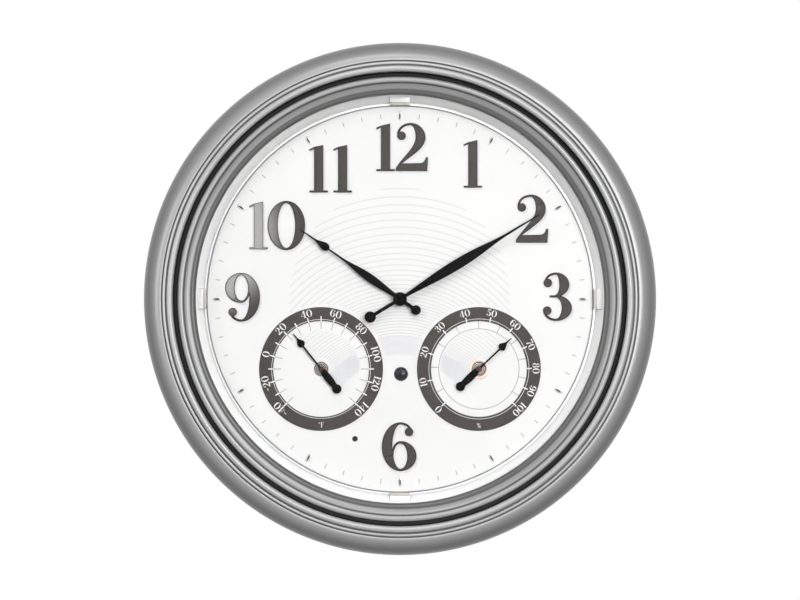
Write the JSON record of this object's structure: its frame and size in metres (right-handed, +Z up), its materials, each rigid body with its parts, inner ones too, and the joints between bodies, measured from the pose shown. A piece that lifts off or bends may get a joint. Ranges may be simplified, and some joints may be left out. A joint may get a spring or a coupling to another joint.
{
  "type": "outdoor wall clock",
  "caption": "Round outdoor wall clock with a moulded metal frame, raised numerals, thermometer and hygrometer dials, dial lamps and a keyhole hanger behind.",
  "frame": {"origin": "on the axis of the hands, in the wall plane", "axes": "+Y points into the wall, so the dial faces -Y; +Z is up and +X is the side of the hygrometer"},
  "size_m": [0.4572, 0.062, 0.4572],
  "materials": {
    "pewter": "satin",
    "black_rubber": "satin",
    "steel": "zinc plated",
    "clear_glass": "polished",
    "white_plastic": "gloss",
    "silver_trim": "satin",
    "dial_white": "satin",
    "gunmetal": "satin",
    "copper": "polished",
    "bimetal": "oxidised",
    "hand_black": "matt",
    "black_plastic": "fine texture",
    "brass": "turned",
    "gear_plastic": "moulded",
    "cell_wrap": "gloss",
    "lamp_diffuser": "frosted",
    "wire_sleeve": "satin",
    "circuit_board": "lacquered",
    "dark_glass": "polished"
  },
  "bodies": {
    "case": {"battery_contacts": "steel", "bezel_screws": "steel", "bezel_seal": "black_rubber", "case_screws": "steel", "dial_edge_ring": "silver_trim", "dial_plate": "dial_white", "gauge_screws": "steel", "glass_gasket": "black_rubber", "glass_lens": "clear_glass", "hanger_plate": "steel", "hanger_rivets": "steel", "hinge_pins": "steel", "hour_markers": "silver_trim", "hygrometer_coil": "bimetal", "hygrometer_eyelet": "copper", "hygrometer_housing": "black_plastic", "hygrometer_scale": "gunmetal", "inner_bezel": "pewter", "led_housings": "white_plastic", "led_lenses": "lamp_diffuser", "led_wiring": "wire_sleeve", "light_board": "circuit_board", "light_cells": "cell_wrap", "mounting_nut": "brass", "movement_case": "black_plastic", "movement_cell": "cell_wrap", "movement_cover": "black_plastic", "movement_washer": "black_rubber", "numeral_1": "gunmetal", "numeral_10": "gunmetal", "numeral_11": "gunmetal", "numeral_12": "gunmetal", "numeral_2": "gunmetal", "numeral_3": "gunmetal", "numeral_6": "gunmetal", "numeral_9": "gunmetal", "outer_frame": "pewter", "photocell": "dark_glass", "quartz_motor": "black_plastic", "rear_cover": "black_plastic", "rear_seal": "black_rubber", "reflector_ring": "white_plastic", "sensor_lens": "dark_glass", "switch_body": "black_plastic", "thermometer_coil": "bimetal", "thermometer_housing": "black_plastic", "thermometer_scale": "gunmetal"},
    "minute": {"minute_arbor": "steel", "minute_hand": "hand_black", "hand_nut": "hand_black"},
    "hour": {"hour_wheel": "gear_plastic", "hour_hand": "hand_black"},
    "setting_train": {"minute_wheel": "gear_plastic", "setting_knob": "gear_plastic"},
    "thermometer_needle": {"thermometer_shaft": "steel", "thermometer_pointer": "hand_black"},
    "hygrometer_needle": {"hygrometer_shaft": "steel", "hygrometer_pointer": "hand_black"},
    "switch": {"switch_slider": "gear_plastic"},
    "door": {"access_door": "black_plastic"}
  },
  "joints": [
    {"name": "minute_turn", "type": "hinge", "parent": "case", "child": "minute", "pos_m": [0, -0.036, 0], "axis": [0, 1, 0], "continuous": true},
    {"name": "hour_turn", "type": "hinge", "parent": "case", "child": "hour", "pos_m": [0, -0.033, 0], "axis": [0, 1, 0], "continuous": true},
    {"name": "setting_turn", "type": "hinge", "parent": "case", "child": "setting_train", "pos_m": [0, -0.0145, 0.012], "axis": [0, 1, 0], "continuous": true},
    {"name": "thermometer_turn", "type": "hinge", "parent": "case", "child": "thermometer_needle", "pos_m": [-0.07049, -0.0225, -0.0625], "axis": [0, 1, 0], "range_deg": [-96.6, 173.4]},
    {"name": "hygrometer_turn", "type": "hinge", "parent": "case", "child": "hygrometer_needle", "pos_m": [0.07049, -0.0225, -0.0625], "axis": [0, 1, 0], "range_deg": [-181.5, 88.5]},
    {"name": "switch_slide", "type": "slide", "parent": "case", "child": "switch", "axis": [1, 0, 0], "range_m": [-0.003, 0.003]},
    {"name": "door_hinge", "type": "hinge", "parent": "case", "child": "door", "pos_m": [0, -0.0032, -0.10108], "axis": [-1, 0, 0], "range_deg": [0, 100]}
  ],
  "couplings": [
    {"joint": "hour_turn", "follows": "minute_turn", "ratio": 0.083333},
    {"joint": "setting_turn", "follows": "minute_turn", "ratio": -0.33333}
  ]
}
